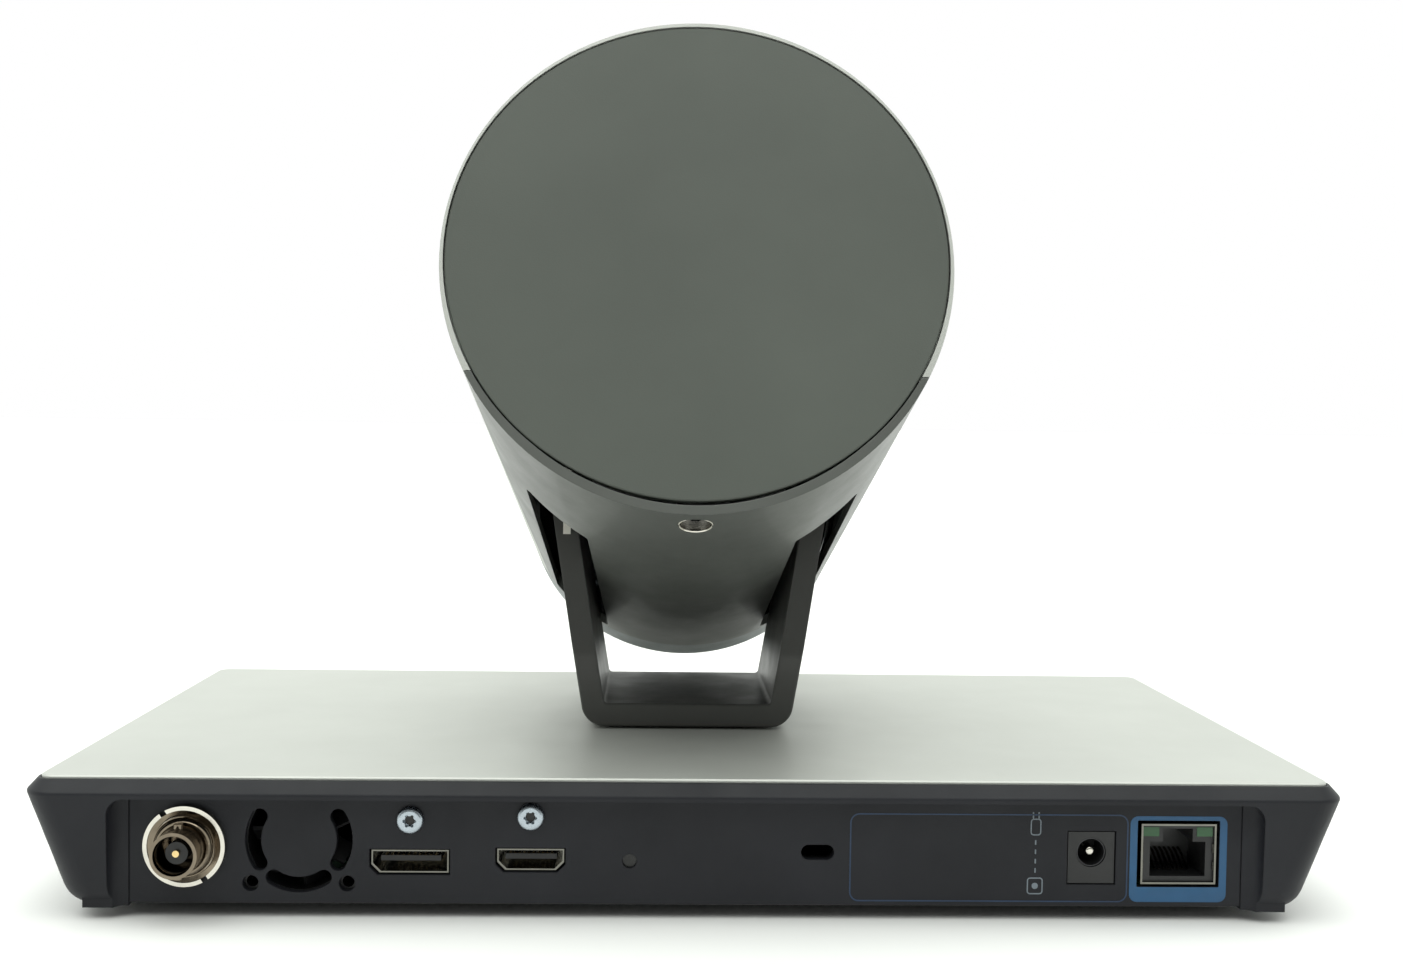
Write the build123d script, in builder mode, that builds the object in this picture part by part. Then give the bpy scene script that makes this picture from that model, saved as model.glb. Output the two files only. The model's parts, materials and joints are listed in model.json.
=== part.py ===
from build123d import *
from math import cos, pi, radians, sin
import os

# Conference camera with a pan and tilt head on a wide slab base, in millimetres.
# The origin is on the table, at the middle of the base. +Z is up, the lens looks
# towards -Y, and the connector panel faces +Y.

# ---- base: driving dimensions ----
PLATE_W = 271.0            # silver top plate, along X
PLATE_D = 136.0            # and along Y
PLATE_T = 1.5
PLATE_TOP = 30.0           # height of the top plate above the table
PLATE_R = 3.0
SHELL_BOTTOM = 2.5         # underside of the shell, and the height of the feet
WAIST_Z = 26.8             # height at which the shell is widest
RIM_Z = 29.3               # top of the shell, just under the plate's top face
WALL = 3.0
LEDGE_Z = 26.5             # underside of the ledge that carries the top plate
PLATE_Z = PLATE_TOP - PLATE_T
RECESS_W = 241.0           # rear recess for the connectors
RECESS_TOP = 25.7
PANEL_Y = 67.0             # outer face of the connector panel
PANEL_T = 1.8
PANEL_W = 234.0
PANEL_IN = PANEL_Y - PANEL_T
PANEL_LOW = 3.2
PANEL_HIGH = RECESS_TOP - 0.1
FLOOR_T = 2.0              # bottom plate
FLOOR_TOP = SHELL_BOTTOM + FLOOR_T
BOARD_TOP = 8.0            # top face of the circuit board
BOARD_T = 1.6

# ---- connectors on the panel: centre (x, z) of each ----
COAX = (105.3, 15.4)
FAN = (82.0, 16.5)
DISPLAY = (59.0, 11.9)
VIDEO = (33.8, 12.4)
SCREW_A = (58.9, 20.9)
SCREW_B = (33.8, 21.7)
STATUS = (13.0, 12.3)
LOCK = (-26.6, 14.4)
POWER = (-84.9, 13.5)
NETWORK = (-103.5, 14.45)

# ---- pan axis and yoke ----
PAN_Y = -8.0
YOKE_Z = 30.6              # underside of the yoke's bar
YOKE_T = 5.6               # thickness of the yoke's band
YOKE_D = 48.0              # depth of the band along Y
YOKE_CORNER = 5.5          # radius of the bar's outer corners
ARM_FOOT_X = 24.9          # outer face of the arms at the bar's underside
ARM_X = 34.85              # and at the tilt axis
ARM_BEND_Z = 90.0          # the arms stand upright above this height
HUB_R = 14.0
YOKE_EDGE = 0.4            # chamfer along the front and rear of the bar
GEAR_MODULE = 0.6
PAN_TEETH = 60
TILT_TEETH = 50
PAN_PINION_TEETH = 12
TILT_PINION_TEETH = 10
GEAR_PLAY = 0.06           # extra distance between two meshed gears
RUN = 0.05                 # radial clearance of a running fit

# ---- head ----
PIVOT_Z = 107.1            # height of the tilt axis
TILT_DOWN = 27.0           # the lens looks this far below level
BARREL_R = 49.5            # outer radius of the barrel at the tilt axis
TAPER = 0.0857             # growth of the radius towards the rear
FRONT_S = 62.0             # length of the barrel in front of the tilt axis
RING_S = 52.5              # rear edge of the front ring
REAR_S = 70.5              # centre of the rear cover, behind the axis
REAR_U = 1.8               # and above it
SLANT = 10.7               # lean of the rear cover against the barrel's axis
COVER_R = 54.45
COVER_T = 2.4
PARTING_U = -24.6          # height of the seam between sleeve and belly cover
SLEEVE_T = 1.6
BELLY_T = 2.0
BELLY_HOLE_R = 3.8
SLOT_FRONT = -50.5         # front end of the arm slots along the barrel
SIDE_X = 22.0              # inner faces of the chassis side plates
SIDE_T = 2.0
SHAFT_R = 4.0
LENS_R = 20.0

os.makedirs("parts", exist_ok=True)


def save(piece, name):
    piece.label = name
    export_step(piece, f"parts/{name}.step")


# ---- planes ----
BACK = (0, cos(radians(TILT_DOWN)), sin(radians(TILT_DOWN)))
UP = (0, -sin(radians(TILT_DOWN)), cos(radians(TILT_DOWN)))


def head_point(s, u, x=0.0):
    """A point s behind and u above the tilt axis, measured along the barrel."""
    return (x, PAN_Y + s * BACK[1] + u * UP[1], PIVOT_Z + s * BACK[2] + u * UP[2])


def barrel_plane(s):
    """Across the barrel: local x is -X, local y is up, and the normal points to the rear."""
    return Plane(origin=head_point(s, 0), x_dir=(-1, 0, 0), z_dir=BACK)


def side_plane(x):
    """Along the barrel: local x runs to the rear, local y is up, and the normal is +X."""
    return Plane(origin=head_point(0, 0, x), x_dir=BACK, z_dir=(1, 0, 0))


def under_plane(u):
    """Parallel to the barrel's axis: local x is -X, local y runs to the front, normal up."""
    return Plane(origin=head_point(0, u), x_dir=(-1, 0, 0), z_dir=UP)


REAR_OUT = Vector(0, cos(radians(TILT_DOWN - SLANT)), sin(radians(TILT_DOWN - SLANT)))


def rear_plane(depth):
    """Parallel to the rear cover, depth in front of its outer face."""
    centre = Vector(*head_point(REAR_S, REAR_U)) - REAR_OUT * depth
    return Plane(origin=centre, x_dir=(-1, 0, 0), z_dir=REAR_OUT)


def panel_plane(y):
    """Parallel to the connector panel: local x is X, local y is Z, and the normal is -Y."""
    return Plane(origin=(0, y, 0), x_dir=(1, 0, 0), z_dir=(0, -1, 0))


def barrel_radius(s):
    return BARREL_R + TAPER * s


# ---- gears ----
def gear_points(teeth, module, phase):
    """Outline of a spur gear with straight flanks, one tooth centred on the phase angle."""
    root = module * (teeth / 2 - 1.15)
    tip = module * (teeth / 2 + 0.8)
    pitch = 2 * pi / teeth
    points = []
    for tooth in range(teeth):
        middle = radians(phase) + tooth * pitch
        for radius, share in ((root, -0.32), (tip, -0.1), (tip, 0.1), (root, 0.32)):
            angle = middle + share * pitch
            points.append((radius * cos(angle), radius * sin(angle)))
    return points


# ---- base: body and covers ----
def rounded_section(height, width, depth, radius):
    with BuildSketch(Plane.XY.offset(height)) as section:
        RectangleRounded(width, depth, radius)
    return section.sketch


BOTTOM_ROUND = 6.5         # radius of the shell's lower edge
WAIST_ROUND = 0.8
RECESS_R = 3.4             # coves at the ends of the recess
CHEEK_W = 9.0              # solid ends that the coves are cut in
SIDE_STEP_Z = 9.5          # height at which the inside of the shell turns upright
OUTER = (
    (SHELL_BOTTOM, 260.1, 140.4, 8.0),
    (WAIST_Z, 277, 142.0, 6.0),
    (RIM_Z, 272.4, 137.4, 3.7),
)
INNER = (
    (SHELL_BOTTOM, 240, 131.0, 5.0),
    (SIDE_STEP_Z, 257, 133.2, 5.5),
    (LEDGE_Z, 269, 134.6, 4.0),
)
LEDGE_OPENING = (262.0, 127.0)
REAR_BOSSES = [(-118, 20), (118, 20)]
BOSS_POINTS = [(-118, -62.5), (0, -62.5), (118, -62.5)] + REAR_BOSSES
BOSS_R = 3.5
FAN_W = 23.6

with BuildPart() as recess:
    with BuildSketch() as recess_plan:
        with Locations((0, PANEL_Y + 5)):
            Rectangle(RECESS_W, 10)
        fillet(recess_plan.vertices().group_by(Axis.Y)[0], RECESS_R)
    extrude(amount=RECESS_TOP)
    with BuildSketch(panel_plane(PANEL_Y + 10)):
        RectangleRounded(RECESS_W, 2 * RECESS_TOP, RECESS_R)
    extrude(amount=10, mode=Mode.INTERSECT)

with BuildPart() as base_shell:
    for low, high in zip(OUTER, OUTER[1:]):
        loft([rounded_section(*low), rounded_section(*high)], ruled=True)
    fillet(base_shell.faces().sort_by(Axis.Z)[0].edges(), BOTTOM_ROUND)
    fillet(base_shell.edges().filter_by_position(Axis.Z, WAIST_Z - 0.1, WAIST_Z + 0.1), WAIST_ROUND)
    for low, high in zip(INNER, INNER[1:]):
        loft([rounded_section(*low), rounded_section(*high)], ruled=True, mode=Mode.SUBTRACT)
    with BuildSketch(Plane.XY.offset(PLATE_Z)):
        RectangleRounded(PLATE_W + 0.3, PLATE_D + 0.3, PLATE_R + 0.15)
    extrude(amount=5, mode=Mode.SUBTRACT)
    with BuildSketch(Plane.XY.offset(LEDGE_Z - 1)):
        RectangleRounded(*LEDGE_OPENING, 4)
    extrude(amount=5, mode=Mode.SUBTRACT)
    with BuildSketch(Plane.XY.offset(SHELL_BOTTOM)):
        for sign in (-1, 1):
            with Locations((sign * (PANEL_W + CHEEK_W + 0.3) / 2, PANEL_Y - 0.2)):
                Rectangle(CHEEK_W, 3.5)
    extrude(amount=LEDGE_Z - SHELL_BOTTOM)
    add(recess.part, mode=Mode.SUBTRACT)
    with BuildSketch(panel_plane(PANEL_Y + 1)):
        Rectangle(PANEL_W + 0.3, 2 * RECESS_TOP - 0.4)
    extrude(amount=9, mode=Mode.SUBTRACT)
    with BuildSketch(Plane.XY.offset(LEDGE_Z - 2)):
        with Locations((FAN[0], PANEL_IN - 2)):
            Rectangle(FAN_W + 2, 4.2)
    extrude(amount=4, mode=Mode.SUBTRACT)
    with BuildSketch(Plane.XY.offset(FLOOR_TOP)):
        with Locations(*BOSS_POINTS):
            Circle(BOSS_R)
    extrude(amount=LEDGE_Z - FLOOR_TOP)
    for x, y in REAR_BOSSES:
        with BuildSketch(Plane.XY.offset(SIDE_STEP_Z)):
            with Locations((x * 1.055, y)):
                Rectangle(13, 2.4)
        extrude(amount=LEDGE_Z - SIDE_STEP_Z)
    with BuildSketch(Plane.XY.offset(FLOOR_TOP)):
        with Locations(*BOSS_POINTS):
            Circle(1.3)
    extrude(amount=12, mode=Mode.SUBTRACT)
save(base_shell.part, "base_shell")

SPINDLE_R = 9.95
FLANGE_R = 12.5
with BuildPart() as top_plate:
    with BuildSketch(Plane.XY.offset(PLATE_Z)):
        RectangleRounded(PLATE_W, PLATE_D, PLATE_R)
        with Locations((0, PAN_Y)):
            Circle(FLANGE_R + 1, mode=Mode.SUBTRACT)
    extrude(amount=PLATE_T)
    chamfer(top_plate.faces().sort_by(Axis.Z)[-1].outer_wire().edges(), 0.3)
save(top_plate.part, "top_plate")

THREAD_R = 3.175           # a quarter inch camera thread
THREAD_DEPTH = 6.5
NUT_R = 6.0
FLOOR_W = 239.4
FLOOR_FRONT = -65.2
FLOOR_REAR = 65.0
BOARD_POSTS = [(-98, 30), (98, 30), (-20, 30), (-60, 57), (0, 57)]
with BuildPart() as bottom_plate:
    with BuildSketch(Plane.XY.offset(SHELL_BOTTOM)):
        with Locations((0, (FLOOR_FRONT + FLOOR_REAR) / 2)):
            RectangleRounded(FLOOR_W, FLOOR_REAR - FLOOR_FRONT, 5)
        Circle(NUT_R, mode=Mode.SUBTRACT)
        with Locations(*BOSS_POINTS):
            Circle(1.6, mode=Mode.SUBTRACT)
    extrude(amount=FLOOR_T)
    with BuildSketch(Plane.XY.offset(FLOOR_TOP)):
        with Locations(*BOARD_POSTS):
            Circle(2.5)
    extrude(amount=BOARD_TOP - BOARD_T - FLOOR_TOP)
save(bottom_plate.part, "bottom_plate")

with BuildPart() as tripod_nut:
    with BuildSketch(Plane.XY.offset(SHELL_BOTTOM)):
        Circle(NUT_R)
    extrude(amount=THREAD_DEPTH + 1.5)
    with BuildSketch(Plane.XY.offset(SHELL_BOTTOM)):
        Circle(THREAD_R)
    extrude(amount=THREAD_DEPTH, mode=Mode.SUBTRACT)
save(tripod_nut.part, "tripod_nut")

with BuildPart() as floor_screws:
    with BuildSketch(Plane.XY.offset(SHELL_BOTTOM - 0.8)):
        with Locations(*BOSS_POINTS):
            Circle(2.6)
    extrude(amount=0.8)
    with BuildSketch(Plane.XY.offset(SHELL_BOTTOM)):
        with Locations(*BOSS_POINTS):
            Circle(1.25)
    extrude(amount=10)
save(floor_screws.part, "floor_screws")

FOOT_X = 116.0
FOOT_Y = 44.0
FOOT_L = 26.0
FOOT_W = 9.0
for side, x in (("left", FOOT_X), ("right", -FOOT_X)):
    for end, y in (("front", -FOOT_Y), ("rear", FOOT_Y)):
        with BuildPart() as foot:
            with BuildSketch():
                with Locations((x, y)):
                    SlotOverall(FOOT_L, FOOT_W, rotation=90)
            extrude(amount=SHELL_BOTTOM)
            chamfer(foot.faces().sort_by(Axis.Z)[0].edges(), 0.5)
        save(foot.part, f"foot_{end}_{side}")

# ---- connector panel ----
VENT_R = 9.5
VENT_W = 3.3
SCREW_SPAN = 10.0          # half the distance between the fan's screw holes
SOCKET_A = (16.1, 4.8)     # outside of the display socket
SOCKET_B = (14.0, 4.5)     # outside of the video socket
POWER_SIZE = (9.9, 11.0)
NETWORK_SIZE = (16.1, 12.9)
FAN_HOLES = [(FAN[0] + dx, FAN[1] + dz) for dx in (-SCREW_SPAN, SCREW_SPAN)
             for dz in (-9.2, 9.2)]


def socket_outline(size, grow, corners):
    """A rectangle with some of its lower corners cut off; corners are -1 and 1 along X."""
    half_w = size[0] / 2 + grow
    half_h = size[1] / 2 + grow
    cut = 1.7
    points = [(-half_w, half_h), (half_w, half_h)]
    if 1 in corners:
        points += [(half_w, cut - half_h), (half_w - cut, -half_h)]
    else:
        points += [(half_w, -half_h)]
    if -1 in corners:
        points += [(cut - half_w, -half_h), (-half_w, cut - half_h)]
    else:
        points += [(-half_w, -half_h)]
    return points


with BuildPart() as rear_panel:
    with BuildSketch(panel_plane(PANEL_Y)):
        with Locations((0, (PANEL_HIGH + PANEL_LOW) / 2)):
            Rectangle(PANEL_W, PANEL_HIGH - PANEL_LOW)
        with Locations(COAX):
            Circle(6.45, mode=Mode.SUBTRACT)
        with Locations(FAN):
            for middle, sweep in ((0, 62), (180, 62), (270, 66)):
                with BuildLine(mode=Mode.PRIVATE) as vent_line:
                    CenterArc((0, 0), VENT_R, middle - sweep / 2, sweep)
                SlotArc(vent_line.wires()[0], VENT_W, mode=Mode.SUBTRACT)
        with Locations(*FAN_HOLES[::2]):
            Circle(1.7, mode=Mode.SUBTRACT)
        with Locations(DISPLAY):
            Polygon(*socket_outline(SOCKET_A, 0.35, (1,)), align=None, mode=Mode.SUBTRACT)
        with Locations(VIDEO):
            Polygon(*socket_outline(SOCKET_B, 0.35, (-1, 1)), align=None, mode=Mode.SUBTRACT)
        with Locations(SCREW_A, SCREW_B):
            Circle(1.7, mode=Mode.SUBTRACT)
        with Locations(STATUS):
            Circle(1.5, mode=Mode.SUBTRACT)
        with Locations(LOCK):
            SlotOverall(7.0, 3.2, mode=Mode.SUBTRACT)
        with Locations(POWER):
            Rectangle(POWER_SIZE[0] + 0.5, POWER_SIZE[1] + 0.5, mode=Mode.SUBTRACT)
        with Locations(NETWORK):
            Rectangle(NETWORK_SIZE[0] + 1.5, NETWORK_SIZE[1] + 1.3, mode=Mode.SUBTRACT)
    extrude(amount=PANEL_T)
save(rear_panel.part, "rear_panel")

# ---- coaxial socket ----
COAX_R = 4.8
COAX_END = 76.0
COAX_NECK = 69.0
with BuildPart() as coax_body:
    with BuildSketch(panel_plane(PANEL_IN)):
        with Locations(COAX):
            Rectangle(14.4, 14.4)
    extrude(amount=12)
    with BuildSketch(panel_plane(COAX_NECK)):
        with Locations(COAX):
            Circle(6.35)
    extrude(amount=COAX_NECK - PANEL_IN)
    with BuildSketch(panel_plane(COAX_END)):
        with Locations(COAX):
            Circle(COAX_R)
    extrude(amount=COAX_END - COAX_NECK)
    with BuildSketch(panel_plane(COAX_END)):
        with Locations(COAX):
            Circle(4.1)
    extrude(amount=9, mode=Mode.SUBTRACT)
    with BuildSketch(Plane.XY.offset(COAX[1] - 5.7)):
        with Locations((COAX[0], 72.3)):
            Circle(0.95)
    extrude(amount=1.2)
    with BuildSketch(Plane.XY.offset(COAX[1] + 4.5)):
        with Locations((COAX[0], 72.3)):
            Circle(0.95)
    extrude(amount=1.2)
save(coax_body.part, "coax_body")

with BuildPart() as coax_ring:
    with BuildSketch(panel_plane(PANEL_Y + 1.8)):
        with Locations(COAX):
            Circle(8.45)
            Circle(6.35, mode=Mode.SUBTRACT)
    extrude(amount=1.8)
    with BuildSketch(panel_plane(PANEL_Y + 1.8)):
        with Locations(COAX):
            Circle(7.6)
    extrude(amount=0.8, mode=Mode.SUBTRACT)
    with BuildSketch(panel_plane(PANEL_Y + 2)):
        with Locations(COAX):
            with PolarLocations(8.3, 2, start_angle=58):
                Rectangle(1.7, 1.3, mode=Mode.ADD)
    extrude(amount=3, mode=Mode.SUBTRACT)
save(coax_ring.part, "coax_ring")

with BuildPart() as coax_insulator:
    with BuildSketch(panel_plane(COAX_END - 2.5)):
        with Locations(COAX):
            Circle(2.3)
            Circle(0.7, mode=Mode.SUBTRACT)
    extrude(amount=6.5)
save(coax_insulator.part, "coax_insulator")

with BuildPart() as coax_contact:
    with BuildSketch(panel_plane(COAX_END - 1.8)):
        with Locations(COAX):
            Circle(0.7)
    extrude(amount=7.2)
save(coax_contact.part, "coax_contact")


# ---- display and video sockets ----
def socket_pieces(name, centre, size, corners, tongue_w):
    face = PANEL_Y - 0.7
    back = 51.0
    mouth = 11.0
    with BuildPart() as shell:
        with BuildSketch(panel_plane(face)):
            with Locations(centre):
                Polygon(*socket_outline(size, 0, corners), align=None)
        extrude(amount=face - back)
        with BuildSketch(panel_plane(face)):
            with Locations(centre):
                Polygon(*socket_outline(size, -0.3, corners), align=None)
        extrude(amount=mouth, mode=Mode.SUBTRACT)
        with BuildSketch(Plane.XY.offset(BOARD_TOP)):
            with Locations((centre[0], (back + face - mouth) / 2)):
                Rectangle(size[0] - 4, face - mouth - back)
        extrude(amount=centre[1] - BOARD_TOP)
    save(shell.part, f"{name}_shell")
    with BuildPart() as tongue:
        with BuildSketch(panel_plane(face - 1.4)):
            with Locations((centre[0], centre[1] + 0.3)):
                Rectangle(tongue_w, 1.1)
        extrude(amount=mouth - 1.4)
    save(tongue.part, f"{name}_tongue")


socket_pieces("display", DISPLAY, SOCKET_A, (1,), 12.6)
socket_pieces("video", VIDEO, SOCKET_B, (-1, 1), 10.8)

# ---- screws above the sockets ----
SCREW_HEAD_T = 1.5
DRIVE_R = 1.1              # six-lobed driver recess
with BuildPart() as panel_screws:
    for centre in (SCREW_A, SCREW_B):
        with BuildSketch(panel_plane(PANEL_Y + SCREW_HEAD_T)):
            with Locations(centre):
                Circle(2.85)
        extrude(amount=SCREW_HEAD_T)
    fillet(panel_screws.faces().sort_by(Axis.Y)[-2:].edges(), 0.9)
    for centre in (SCREW_A, SCREW_B):
        with BuildSketch(panel_plane(PANEL_Y)):
            with Locations(centre):
                Circle(1.5)
        extrude(amount=6)
        with BuildSketch(panel_plane(PANEL_Y + SCREW_HEAD_T)):
            with Locations(centre):
                Circle(DRIVE_R)
                with PolarLocations(DRIVE_R, 6):
                    Circle(0.34)
        extrude(amount=1.2, mode=Mode.SUBTRACT)
save(panel_screws.part, "panel_screws")

# ---- status light and lock slot ----
with BuildPart() as status_light:
    with BuildSketch(panel_plane(PANEL_Y - 0.7)):
        with Locations(STATUS):
            Circle(1.45)
    extrude(amount=6)
save(status_light.part, "status_light")

with BuildPart() as lock_plate:
    with BuildSketch(panel_plane(PANEL_IN)):
        with Locations(LOCK):
            RectangleRounded(15, 11, 1)
            SlotOverall(7.0, 3.2, mode=Mode.SUBTRACT)
    extrude(amount=1.5)
save(lock_plate.part, "lock_plate")

# ---- power inlet ----
INLET_R = 3.15
INLET_DEPTH = 9.0
with BuildPart() as power_housing:
    with BuildSketch(panel_plane(PANEL_Y - 0.3)):
        with Locations(POWER):
            Rectangle(*POWER_SIZE)
    extrude(amount=14)
    with BuildSketch(panel_plane(PANEL_Y)):
        with Locations((POWER[0], POWER[1] + 1.1)):
            Circle(INLET_R)
    extrude(amount=INLET_DEPTH, mode=Mode.SUBTRACT)
save(power_housing.part, "power_housing")

with BuildPart() as power_pin:
    with BuildSketch(panel_plane(PANEL_Y - 1.2)):
        with Locations((POWER[0], POWER[1] + 1.1)):
            Circle(1.0)
    extrude(amount=INLET_DEPTH - 1.2)
    fillet(power_pin.faces().sort_by(Axis.Y)[-1].edges(), 0.6)
save(power_pin.part, "power_pin")

# ---- network socket ----
SHIELD_T = 0.4
SHIELD_BACK = 50.5
PLUG_W = 11.9
PLUG_H = 7.4
PLUG_DEPTH = 11.0
PLUG_Z = NETWORK[1] - 1.2
with BuildPart() as network_shield:
    with BuildSketch(panel_plane(PANEL_Y + 0.2)):
        with Locations(NETWORK):
            Rectangle(*NETWORK_SIZE)
            Rectangle(NETWORK_SIZE[0] - 2 * SHIELD_T, NETWORK_SIZE[1] - 2 * SHIELD_T,
                      mode=Mode.SUBTRACT)
    extrude(amount=PANEL_Y + 0.2 - SHIELD_BACK)
    with BuildSketch(panel_plane(SHIELD_BACK + SHIELD_T)):
        with Locations(NETWORK):
            Rectangle(*NETWORK_SIZE)
    extrude(amount=SHIELD_T)
save(network_shield.part, "network_shield")

LIGHT_W = 3.4
LIGHT_H = 2.0
LIGHT_X = 5.75
LIGHT_Z = NETWORK[1] + 4.65
with BuildPart() as network_insert:
    with BuildSketch(panel_plane(PANEL_Y - 0.5)):
        with Locations(NETWORK):
            Rectangle(NETWORK_SIZE[0] - 2 * SHIELD_T, NETWORK_SIZE[1] - 2 * SHIELD_T)
    extrude(amount=PANEL_Y - 0.5 - SHIELD_BACK - SHIELD_T)
    with BuildSketch(panel_plane(PANEL_Y)):
        with Locations((NETWORK[0], PLUG_Z)):
            Rectangle(PLUG_W, PLUG_H)
        with Locations((NETWORK[0], PLUG_Z + PLUG_H / 2 + 1.4)):
            Rectangle(6.4, 2.8)
    extrude(amount=PLUG_DEPTH, mode=Mode.SUBTRACT)
    with BuildSketch(panel_plane(PANEL_Y)):
        with Locations((NETWORK[0] - LIGHT_X, LIGHT_Z), (NETWORK[0] + LIGHT_X, LIGHT_Z)):
            Rectangle(LIGHT_W, LIGHT_H)
    extrude(amount=3.5, mode=Mode.SUBTRACT)
save(network_insert.part, "network_insert")

with BuildPart() as network_lights:
    with BuildSketch(panel_plane(PANEL_Y - 0.4)):
        with Locations((NETWORK[0] - LIGHT_X, LIGHT_Z), (NETWORK[0] + LIGHT_X, LIGHT_Z)):
            Rectangle(LIGHT_W, LIGHT_H)
    extrude(amount=3.1)
save(network_lights.part, "network_lights")

# ---- fan ----
FAN_T = 8.0
FAN_BORE = 11.0
FAN_HUB_R = 4.8
FAN_PIN_R = 1.0
BLADES = 7
with BuildPart() as fan_frame:
    with BuildSketch(panel_plane(PANEL_IN)):
        with Locations(FAN):
            RectangleRounded(FAN_W, FAN_W, 2)
            Circle(FAN_BORE, mode=Mode.SUBTRACT)
    extrude(amount=FAN_T)
    with BuildSketch(panel_plane(PANEL_IN - FAN_T + 1.5)):
        with Locations(FAN):
            Circle(FAN_HUB_R)
            with PolarLocations(FAN_HUB_R + 3.1, 3, start_angle=30):
                Rectangle(7.4, 1.6)
    extrude(amount=1.5)
    with BuildSketch(panel_plane(PANEL_IN - 1.5)):
        with Locations(FAN):
            Circle(FAN_PIN_R)
    extrude(amount=5)
    with BuildSketch(panel_plane(PANEL_IN)):
        with Locations(*FAN_HOLES):
            Circle(1.25)
    extrude(amount=FAN_T, mode=Mode.SUBTRACT)
save(fan_frame.part, "fan_frame")

ROTOR_FACE = PANEL_IN - 1.2
ROTOR_T = 4.8
BLADE_PITCH = 38.0
with BuildPart() as fan_rotor:
    with BuildSketch(panel_plane(ROTOR_FACE)):
        with Locations(FAN):
            Circle(FAN_HUB_R)
    extrude(amount=ROTOR_T)
    for blade in range(BLADES):
        turn = 360 / BLADES * blade
        outward = (cos(radians(turn)), 0, sin(radians(turn)))
        middle = (FAN[0], ROTOR_FACE - ROTOR_T / 2, FAN[1])
        with BuildSketch(Plane(origin=middle, x_dir=(0, 1, 0), z_dir=outward)):
            Rectangle(5.2, 0.7, rotation=BLADE_PITCH)
        extrude(amount=FAN_BORE - 0.6)
    with BuildSketch(panel_plane(ROTOR_FACE - 0.3)):
        with Locations(FAN):
            Circle(FAN_PIN_R + RUN)
    extrude(amount=ROTOR_T, mode=Mode.SUBTRACT)
save(fan_rotor.part, "fan_rotor")

# ---- circuit board ----
with BuildPart() as main_board:
    with BuildSketch(Plane.XY.offset(BOARD_TOP - BOARD_T)):
        with Locations((0, 54)):
            Rectangle(226, 18)
        with Locations((0, 35)):
            Rectangle(206, 22)
        with Locations((FAN[0], 60)):
            Rectangle(FAN_W + 2, 14, mode=Mode.SUBTRACT)
    extrude(amount=BOARD_T)
save(main_board.part, "main_board")

# ---- pan drive ----
GEAR_Z = 14.5
SPINDLE_Z = GEAR_Z - 0.7
GEAR_T = 4.0
BUSH_R = 13.0
BUSH_BOTTOM = 19.0
CHASSIS_Z = 25.5
LEG_POINTS = [(-34, PAN_Y - 26), (34, PAN_Y - 26), (-34, PAN_Y + 24), (34, PAN_Y + 24)]
PAN_REACH = GEAR_MODULE * (PAN_TEETH + PAN_PINION_TEETH) / 2 + GEAR_PLAY
MOTOR_Y = PAN_Y - PAN_REACH
PIN_R = 1.5
with BuildPart() as pan_chassis:
    with BuildSketch(Plane.XY.offset(CHASSIS_Z)):
        with Locations((0, PAN_Y - 1)):
            RectangleRounded(80, 62, 4)
    extrude(amount=PLATE_Z - CHASSIS_Z)
    with BuildSketch(Plane.XY.offset(BUSH_BOTTOM)):
        with Locations((0, PAN_Y)):
            Circle(BUSH_R + 2.5)
    extrude(amount=CHASSIS_Z - BUSH_BOTTOM)
    with BuildSketch(Plane.XY.offset(FLOOR_TOP)):
        with Locations(*LEG_POINTS):
            Circle(3.5)
    extrude(amount=CHASSIS_Z - FLOOR_TOP)
    with BuildSketch(Plane.XY.offset(BUSH_BOTTOM)):
        with Locations((0, PAN_Y)):
            Circle(BUSH_R)
        with Locations((0, MOTOR_Y)):
            Circle(PIN_R + RUN)
    extrude(amount=12, mode=Mode.SUBTRACT)
save(pan_chassis.part, "pan_chassis")

with BuildPart() as pan_bushing:
    with BuildSketch(Plane.XY.offset(BUSH_BOTTOM)):
        with Locations((0, PAN_Y)):
            Circle(BUSH_R)
            Circle(SPINDLE_R + RUN, mode=Mode.SUBTRACT)
    extrude(amount=PLATE_Z - BUSH_BOTTOM)
save(pan_bushing.part, "pan_bushing")

with BuildPart() as pan_spindle:
    with BuildSketch(Plane.XY.offset(SPINDLE_Z)):
        with Locations((0, PAN_Y)):
            Circle(SPINDLE_R)
    extrude(amount=YOKE_Z - SPINDLE_Z)
    with BuildSketch(Plane.XY.offset(PLATE_Z)):
        with Locations((0, PAN_Y)):
            Circle(FLANGE_R)
    extrude(amount=YOKE_Z - PLATE_Z)
    with BuildSketch(Plane.XY.offset(SPINDLE_Z)):
        with Locations((0, PAN_Y)):
            Circle(5.5)
    extrude(amount=YOKE_Z - SPINDLE_Z, mode=Mode.SUBTRACT)
save(pan_spindle.part, "pan_spindle")

with BuildPart() as pan_gear:
    with BuildSketch(Plane.XY.offset(GEAR_Z)):
        with Locations((0, PAN_Y)):
            Polygon(*gear_points(PAN_TEETH, GEAR_MODULE, 270), align=None)
            Circle(SPINDLE_R, mode=Mode.SUBTRACT)
    extrude(amount=GEAR_T)
save(pan_gear.part, "pan_gear")

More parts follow.
